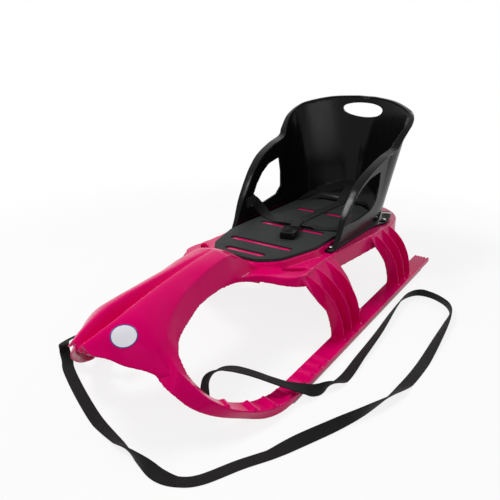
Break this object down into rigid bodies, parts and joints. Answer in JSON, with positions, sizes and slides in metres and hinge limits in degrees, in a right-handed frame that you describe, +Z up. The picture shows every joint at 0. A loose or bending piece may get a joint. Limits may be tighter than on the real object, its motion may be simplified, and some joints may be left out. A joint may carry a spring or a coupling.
{
  "type": "plastic sled with baby seat back",
  "caption": "Child's plastic sled with two runners, a raised nose, a bucket seat back, a padded seat mat, a lap belt with a buckle, and a webbing pull strap.",
  "frame": {"origin": "on the ground, midway across the sled, midway between the nose's tip and the rear edge of the backrest", "axes": "+Z up, -Y towards the nose, +X towards the rider's left"},
  "size_m": [0.5776, 0.97, 0.3852],
  "materials": {
    "body": "gloss",
    "black": "gloss",
    "mat": "matte",
    "webbing": "matte",
    "steel": "satin"
  },
  "bodies": {
    "sled": {"backrest": "black", "backrest_nut_1": "steel", "backrest_nut_2": "steel", "backrest_nut_3": "steel", "backrest_nut_4": "steel", "backrest_screw_1": "steel", "backrest_screw_2": "steel", "backrest_screw_3": "steel", "backrest_screw_4": "steel", "buckle_housing": "black", "crotch_strap": "webbing", "lap_belt": "webbing", "pull_strap": "webbing", "pull_strap_screw_1": "steel", "pull_strap_screw_2": "steel", "rail_rivet_1": "steel", "rail_rivet_10": "steel", "rail_rivet_2": "steel", "rail_rivet_3": "steel", "rail_rivet_4": "steel", "rail_rivet_5": "steel", "rail_rivet_6": "steel", "rail_rivet_7": "steel", "rail_rivet_8": "steel", "rail_rivet_9": "steel", "rear_strap_left": "webbing", "rear_strap_right": "webbing", "runner_rail_left": "steel", "runner_rail_right": "steel", "seat_mat": "mat", "sled_body": "body", "strap_keeper_left": "steel", "strap_keeper_right": "steel", "strap_stop": "black"},
    "tongue": {"buckle_tongue": "black", "tongue_loop": "black"},
    "button": {"buckle_button": "black"}
  },
  "joints": [
    {"name": "buckle_tongue", "type": "slide", "parent": "sled", "child": "tongue", "axis": [-0.2502, 0.9672, -0.0442], "range_m": [0, 0.02]},
    {"name": "buckle_button", "type": "slide", "parent": "sled", "child": "button", "axis": [0, 0, -1], "range_m": [0, 0.003], "stiffness_N_per_m": 400, "springref_m": -0.001}
  ]
}
